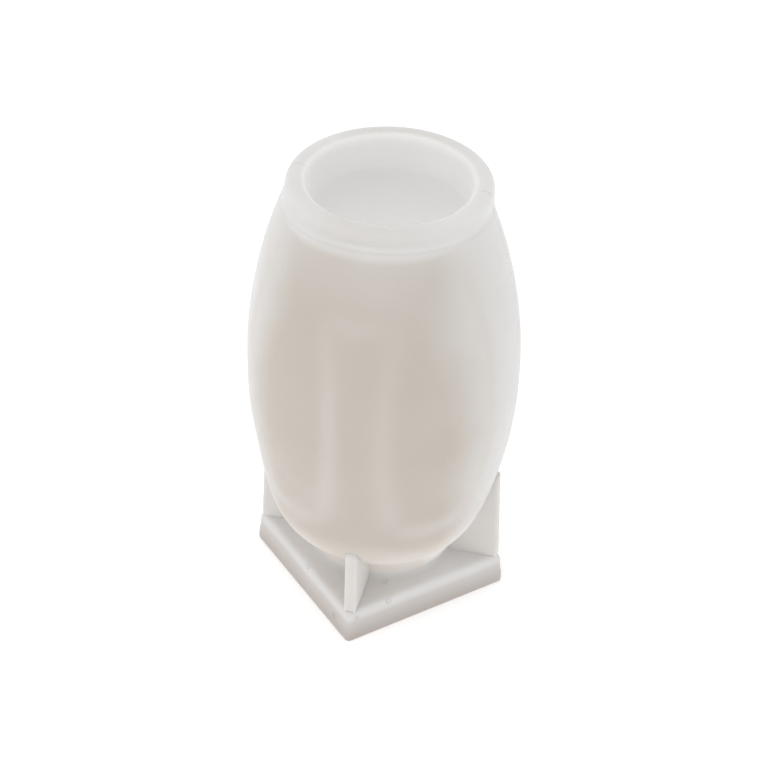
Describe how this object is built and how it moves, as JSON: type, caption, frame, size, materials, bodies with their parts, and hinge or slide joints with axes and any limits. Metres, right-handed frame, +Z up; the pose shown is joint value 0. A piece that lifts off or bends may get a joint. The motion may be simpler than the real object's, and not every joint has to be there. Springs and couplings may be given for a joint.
{
  "type": "casting mould",
  "caption": "Silicone casting mould for a face vase: a barrel with a collar on a square base with corner fins, opening like a book along one side.",
  "frame": {"origin": "on the floor, below the middle of the base and of the mouth", "axes": "+Z up through the mouth, -Y towards the face relief, +X towards the side that the leaves hinge on"},
  "size_m": [0.08, 0.0813, 0.1412],
  "materials": {
    "silicone": "satin, translucent milky white"
  },
  "bodies": {
    "back_half": {"back_base": "silicone", "back_collar": "silicone", "back_fin": "silicone", "back_left_fin": "silicone", "back_right_fin": "silicone", "back_wall": "silicone", "hinge_web": "silicone"},
    "front_half": {"chin_relief": "silicone", "front_base": "silicone", "front_collar": "silicone", "front_fin": "silicone", "front_left_fin": "silicone", "front_right_fin": "silicone", "front_wall": "silicone", "left_cheek_relief": "silicone", "right_cheek_relief": "silicone"}
  },
  "joints": [
    {"name": "book_hinge", "type": "hinge", "parent": "back_half", "child": "front_half", "pos_m": [0.04, 0, 0.08], "axis": [0, 0, 1], "range_deg": [0, 70], "stiffness_Nm_per_rad": 0.02}
  ]
}
